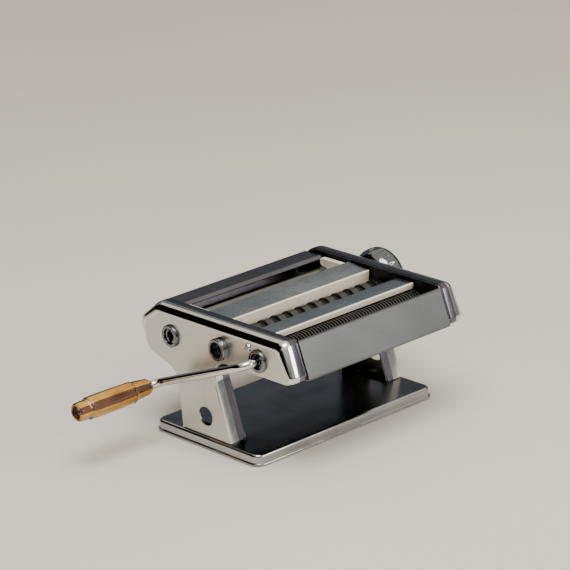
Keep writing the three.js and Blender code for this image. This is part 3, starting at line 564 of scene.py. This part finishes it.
# ---------------------------------------------------------------- screw heads
def cross_head(side):
    """Pan head with a cross recess, as a polar grid over radius q and angle f: height =
    high (1 - (q / r)^4), less `recess` where |y| or |z| is under `half_slot` inside the radius `reach`,
    with short ramps. Behind it stands the shank."""
    y0, z0, _ = TOP_SCREW
    q = np.concatenate([[0], np.linspace(0.25, SCREW["r"], 28)])
    f = np.linspace(0, 2 * np.pi, 96, endpoint=False)
    qq, ff = np.meshgrid(q, f, indexing="ij")
    y, z = qq * np.cos(ff), qq * np.sin(ff)
    slot = np.clip((SCREW["half_slot"] - np.minimum(np.abs(y), np.abs(z))) / 0.15, 0, 1)
    slot = slot * np.clip((SCREW["reach"] - qq) / 0.2, 0, 1)
    height = SCREW["high"] * (1 - (qq / SCREW["r"]) ** 4) - SCREW["recess"] * slot
    top = np.stack([side * (FACE_X + 0.3 + height), y0 + y, z0 + z], -1)
    under, inner = FACE_X + 0.3, FACE_X - 2
    rows = [np.stack([np.full(96, side * x), y0 + r * np.cos(f), z0 + r * np.sin(f)], -1)
            for x, r in ((under, SCREW["r"]), (under, SCREW["shank"]), (inner, SCREW["shank"]), (inner, 0))]
    return grid(np.vstack([top, np.stack(rows)]), closed_v=True)


rod_line = [(-90, 0), (-90, SCREW["shank"]), (90, SCREW["shank"]), (90, 0)]
rod = revolve(rod_line, TOP_SCREW[0], TOP_SCREW[1], 32)
piece("tie_rod_top", combine(rod, cross_head(-1), cross_head(1)), "frame", "chrome", chrome_plate,
      "tie_rod_top_front")


# ---------------------------------------------------------------- gap knob
def notched(x, r, f):
    """Small scallops round the knob's widest part: the outer radius drops by up to SCALLOP_DEPTH where
    cos(SCALLOPS f) is near 1, strongest at x = SCALLOP_X and gone by the dome and the back."""
    band = np.exp(-((x - SCALLOP_X) / 3.6) ** 4) * (r > 23.9)
    return r - SCALLOP_DEPTH * band * np.clip(np.cos(SCALLOPS * f) - 0.35, 0, 1) / 0.65


def knob():
    """Outside: a rounded back (x = KNOB_X - back cos b, r = hub + (R - hub) sin b), then a quarter-ellipse
    dome (x = KNOB_X + dome sin a, r = R cos a). Hollow: both again, one wall further in, and a web."""
    a = np.linspace(0, np.pi / 2, 25)
    b = np.linspace(0, np.pi / 2, 30)
    swell = KNOB_R - KNOB_HUB
    back = np.stack([KNOB_X - KNOB_BACK * np.cos(b), KNOB_HUB + swell * np.sin(b)], 1)
    dome = np.stack([KNOB_X + KNOB_DOME * np.sin(a), KNOB_R * np.cos(a)], 1)
    hollow_dome = np.stack([KNOB_X + (KNOB_DOME - KNOB_WALL) * np.sin(a),
                            (KNOB_R - KNOB_WALL) * np.cos(a)], 1)
    hollow_back = np.stack([KNOB_X - 1 - (KNOB_BACK - 1) * np.cos(b[::-1]),
                            KNOB_HUB - KNOB_WALL + swell * np.sin(b[::-1])], 1)
    web = [(103, 23.2), (103, 4.4), (101, 4.4), (101, 22)]
    return np.vstack([back, dome]), np.vstack([hollow_dome[::-1], web, hollow_back[12:], back[:1]])


outside, hollow = knob()
shape = combine(revolve(outside, SMOOTH["front"], SMOOTH_Z, sides=216, radius_at=notched),
                revolve(hollow, SMOOTH["front"], SMOOTH_Z, sides=216))
piece("domed_knob", shape, "knob", "chrome", smoked_chrome, "gap_knob", sharp=40)


def coil():
    """Round wire along a helix about the knob's axis: centre = (x, r cos f, r sin f) with x even in f,
    ring = wire (cos g N + sin g B), N pointing to the axis and B = T x N. The ends close to a point."""
    steps, r = 160, SPRING["r"]
    f = np.linspace(0, SPRING["turns"] * 2 * np.pi, steps)
    x = np.linspace(SPRING["from"] + SPRING["wire"], SPRING["to"] - SPRING["wire"], steps)
    centre = np.stack([x, SMOOTH["front"] + r * np.cos(f), SMOOTH_Z + r * np.sin(f)], 1)
    pitch = (x[-1] - x[0]) / (f[-1] - f[0])
    along = np.stack([np.full(steps, pitch), -r * np.sin(f), r * np.cos(f)], 1) / math.hypot(pitch, r)
    inwards = np.stack([np.zeros(steps), -np.cos(f), -np.sin(f)], 1)
    beside = np.cross(along, inwards)
    wire = np.full(steps, SPRING["wire"])
    wire[[0, -1]] = 0
    g = np.linspace(0, 2 * np.pi, 14, endpoint=False)[None, :, None]
    ring = inwards[:, None] * np.cos(g) + beside[:, None] * np.sin(g)
    return grid(centre[:, None] + wire[:, None, None] * ring, closed_v=True)


# The spring gets a mesh of its own.
spring = piece("knob_return_spring", coil(), "gap_cam", "inner_steel", gear_steel, "knob_spring")
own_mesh(spring)


# ---------------------------------------------------------------- crank and grip
def crank_rod():
    """Round bar along a path in the crank's plane: ring = centre + r (cos f N + sin f B), with B the
    plane's normal and N = B x T. The two bends are arcs of BEND_R, and both ends are closed flat."""
    path = rounded([(ROD_IN, 0), (ROD_ARM, 0, BEND_R), (ROD_ARM, ARM, BEND_R), (ROD_OUT, ARM)], 12,
                   closed=False)
    edge = np.gradient(path, axis=0)
    edge /= np.linalg.norm(edge, axis=1)[:, None]
    path = np.vstack([path[:1], path, path[-1:]])
    edge = np.vstack([edge[:1], edge, edge[-1:]])
    radius = np.full(len(path), ROD_R)
    radius[[0, -1]] = 0
    arm = np.array([0, math.cos(DROOP), -math.sin(DROOP)])
    across = np.array([0, math.sin(DROOP), math.cos(DROOP)])
    start = np.array([0, FINE["rear"], AXIS_Z])
    centre = start + path[:, :1] * np.array([1, 0, 0]) + path[:, 1:] * arm
    normal = edge[:, 1:] * np.array([-1, 0, 0]) + edge[:, :1] * arm
    f = np.linspace(0, 2 * np.pi, 40, endpoint=False)[None, :, None]
    ring = normal[:, None] * np.cos(f) + across * np.sin(f)
    return grid(centre[:, None] + radius[:, None, None] * ring, closed_v=True)


piece("crank_bar", crank_rod(), "crank", "chrome", chrome_plate, "crank_rod")


FLAT = np.pi / 4  # the angle of one of the grip's eight flats


def step(x, place, width):
    """Smooth step: 0 before the place, 1 after it, (3 - 2 t) t^2 between."""
    t = np.clip((x - place) / width + 0.5, 0, 1)
    return t * t * (3 - 2 * t)


def fluted(x, r, f):
    """Eight flats along the grip: the radius follows the flat, r cos(22.5 deg) / cos(angle from its
    middle), blended in by `band` between the two ends. A raised panel lies along the thick middle."""
    within = np.abs((f / FLAT) % 1 - 0.5) * FLAT
    flat = r * math.cos(FLAT / 2) / np.cos(FLAT / 2 - within)
    band = step(-x, 119, 2) * (1 - step(-x, 187.4, 2)) * (r > 4.9)
    panel = np.clip(np.cos(8 * f) * 2 + 0.4, -1, 1) * (r > 8)
    ridge = 0.55 * panel * step(-x, 135, 1) * (1 - step(-x, 177, 1))
    return r + band * (flat - r) + ridge - 0.35 * (r > 8) * band


def grip():
    """Outer profile from the tapered neck, over a step to the widest part, to the end ring and its bore."""
    neck = rounded([(-117, 3.7), (-117, 5.2, 0.5), (-119, 6.4, 1.5), (-134, 8.1, 8), (-134.6, 8.6)], 6,
                   closed=False)
    x = np.concatenate([np.linspace(-135, -137, 8), np.linspace(-139, -175, 10),
                        np.linspace(-176, -178, 8)])
    middle = np.stack([x, 8.7 + 0.9 * np.sin(np.pi * np.clip((-x - 130) / 62, 0, 1)) ** 0.7], 1)
    ring = rounded([(-178.4, 8.6), (-179.6, 7.7, 0.4), (-181, 7.7, 0.4), (-182, 8.2, 0.5), (-188, 7.4, 1.2),
                    (-189, 6.4, 0.5), (-189, 5.1, 0.3), (-181, 4.9, 0.3), (-181, 3.7, 0.2), (-117, 3.7)], 6,
                   closed=False)
    return np.vstack([neck, middle, ring])


handle = piece("amber_grip", revolve(grip(), *GRIP_AXIS, sides=192, radius_at=fluted), "grip",
               "amber_plastic", [amber, shaded_amber_copy], "crank_grip", sharp=28)
# Painted shade: every other flat and the bore take the dark brown copy of the amber.
middles, _ = face_places(handle)
out_y, out_z = middles[:, 1] - GRIP_AXIS[0], middles[:, 2] - GRIP_AXIS[1]
painted_shade_flats = np.floor(np.arctan2(out_z, out_y) / FLAT) % 2 == 1
painted_shade_bore = np.hypot(out_z, out_y) < 5
dress(handle, painted_shade_flats | painted_shade_bore)


# ---------------------------------------------------------------- CAD nodes that keep their shape
KEPT = {
    # The parts inside the head take the near-black steel, painted shade.
    inner_steel: ["cheek_plate_crank", "cheek_plate_knob", "tie_rod_lower_rear", "tie_rod_lower_middle",
                  "smooth_scraper_rear", "smooth_scraper_front", "wide_comb_rear", "wide_comb_front",
                  "fine_comb_rear", "fine_comb_front"],
    gear_steel: ["crank_drive_pin", "grip_retainer", "gap_cam_shaft",
                 *(f"{pair}_gear_{row}" for pair in ("smooth_roller", "wide_cutter", "fine_cutter")
                   for row in ROWS)],
    nylon: ["slide_block_crank", "slide_block_knob", "dough_guide_crank", "dough_guide_knob",
            *(f"bush_{axis}_{end}" for end in ("crank", "knob")
              for axis in ("smooth_rear", "wide_rear", "wide_front", "fine_rear", "fine_front"))],
    dial_metal: ["gap_dial"],
}
for look, names in KEPT.items():
    for name in names:
        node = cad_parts[name]
        node.data.materials.clear()
        node.data.materials.append(look)

# ---------------------------------------------------------------- floor, light and camera, in metres
FLOOR = 6
floor_mesh = bpy.data.meshes.new("floor")
floor_mesh.from_pydata([(-FLOOR, -FLOOR, 0), (FLOOR, -FLOOR, 0), (FLOOR, FLOOR, 0), (-FLOOR, FLOOR, 0)], [],
                       [(0, 1, 2, 3)])
floor = bpy.data.objects.new("floor", floor_mesh)
bpy.context.scene.collection.objects.link(floor)
paper = finish("pale studio paper", ("#DEDAD2", "#E2DED7"), (0.85, 0.95), (6, 6, 6), 0.0, 300, 0.0)
floor.data.materials.append(paper)

# Studio surround: a pale room whose dark flats stand low on the left and behind, which gives chrome its
# bands. Each ramp runs from the horizon (0) to overhead (1), and the four directions blend into each other.
FACTOR, FIRST, SECOND, BLENDED = 0, 6, 7, 2  # sockets of a colour mix
BLACK, CREAM, WHITE = "#0A0A0B", "#F2E6D2", "#FFF8EC"
world = bpy.data.worlds.new("soft studio with dark flats")
bpy.context.scene.world = world
world.use_nodes = True
sky = world.node_tree
sky.nodes.clear()
direction = add(sky, "ShaderNodeSeparateXYZ", {0: add(sky, "ShaderNodeTexCoord").outputs["Generated"]})
height, across, depth = direction.outputs["Z"], direction.outputs["X"], direction.outputs["Y"]
right_bands = add(sky, "ShaderNodeValToRGB", {"Fac": height}, [
    (0.0, "#050506"), (0.10, "#1A1A1D"), (0.22, "#56585D"), (0.30, "#7E868B"), (0.36, "#8C959A"),
    (0.37, BLACK), (0.41, BLACK), (0.42, "#A6A9AC"), (0.53, "#5C5F64"), (0.54, BLACK), (0.57, BLACK),
    (0.59, CREAM), (1.0, WHITE)])
left_bands = add(sky, "ShaderNodeValToRGB", {"Fac": height}, [
    (0.0, "#030303"), (0.74, "#050505"), (0.80, CREAM), (1.0, WHITE)])
front_bands = add(sky, "ShaderNodeValToRGB", {"Fac": height}, [
    (0.0, "#7B7E80"), (0.3, "#B8BABA"), (0.45, CREAM), (1.0, WHITE)])
corner_bands = add(sky, "ShaderNodeValToRGB", {"Fac": height}, [
    (0.0, "#030303"), (0.27, "#050505"), (0.31, "#D8D2C6"), (0.45, CREAM), (1.0, WHITE)])
side = add(sky, "ShaderNodeMapRange", {"Value": across, "From Min": -0.1, "From Max": -0.02})
front = add(sky, "ShaderNodeMapRange", {"Value": depth, "From Min": 0.0, "From Max": -0.25})
corner = add(sky, "ShaderNodeMapRange", {"Value": across, "From Min": -0.28, "From Max": -0.18})
behind = add(sky, "ShaderNodeMix", {FACTOR: side.outputs["Result"], FIRST: left_bands.outputs["Color"],
                                    SECOND: right_bands.outputs["Color"]}, data_type="RGBA")
before = add(sky, "ShaderNodeMix", {FACTOR: corner.outputs["Result"], FIRST: corner_bands.outputs["Color"],
                                    SECOND: front_bands.outputs["Color"]}, data_type="RGBA")
around = add(sky, "ShaderNodeMix", {FACTOR: front.outputs["Result"], FIRST: behind.outputs[BLENDED],
                                    SECOND: before.outputs[BLENDED]}, data_type="RGBA")
glow = add(sky, "ShaderNodeBackground", {"Color": around.outputs[BLENDED], "Strength": 1.0})
add(sky, "ShaderNodeOutputWorld", {"Surface": glow.outputs["Background"]})


def aimed(at, target, roll=0.0):
    """Matrix of a thing at `at` that looks at `target` along its own -Z, rolled about that line."""
    back = (Vector(at) - Vector(target)).normalized()
    right = Vector((0, 0, 1)).cross(back).normalized()
    up = back.cross(right)
    cos, sin = math.cos(roll), math.sin(roll)
    turned = [right * cos + up * sin, up * cos - right * sin, back]
    matrix = Matrix([[turned[c][r] for c in range(3)] for r in range(3)]).to_4x4()
    matrix.translation = Vector(at)
    return matrix


# Lights as (name, place, diameter, watts).
LIGHTS = [("overhead softbox", (-0.35, -0.45, 1.5), 1.1, 24),
          ("front fill card", (0.9, -2.2, 0.9), 1.2, 27)]
for name, place, diameter, watts in LIGHTS:
    softbox = bpy.data.objects.new(name, bpy.data.lights.new(name, "AREA"))
    softbox.data.shape = "DISK"
    softbox.data.size = diameter
    softbox.data.energy = watts
    softbox.data.color = (1.0, 0.97, 0.92)
    bpy.context.scene.collection.objects.link(softbox)
    softbox.matrix_world = aimed(place, (0, 0, 0.05))

# The camera stands DISTANCE mm from a point 70 mm above the table and slides along its own X and Y.
AZIMUTH, ELEVATION, ROLL = math.radians(-41.314), math.radians(19.388), math.radians(-3.353)
DISTANCE, SLIDE_RIGHT, SLIDE_UP = 2164.2, -16.388, 39.890
level = math.cos(ELEVATION)
back = Vector((math.sin(AZIMUTH) * level, -math.cos(AZIMUTH) * level, math.sin(ELEVATION)))
camera = bpy.data.objects.new("camera", bpy.data.cameras.new("camera"))
camera.data.lens = 173.77
camera.data.sensor_width = 36
camera.data.clip_end = 30
bpy.context.scene.collection.objects.link(camera)
view = aimed(back, (0, 0, 0), ROLL)
middle = Vector(ORIGIN.tolist()) + Vector((0, 0, 70))
slide = view.col[0].xyz * SLIDE_RIGHT + view.col[1].xyz * SLIDE_UP
view.translation = (middle + back * DISTANCE + slide) * MM
camera.matrix_world = view
bpy.context.scene.camera = camera
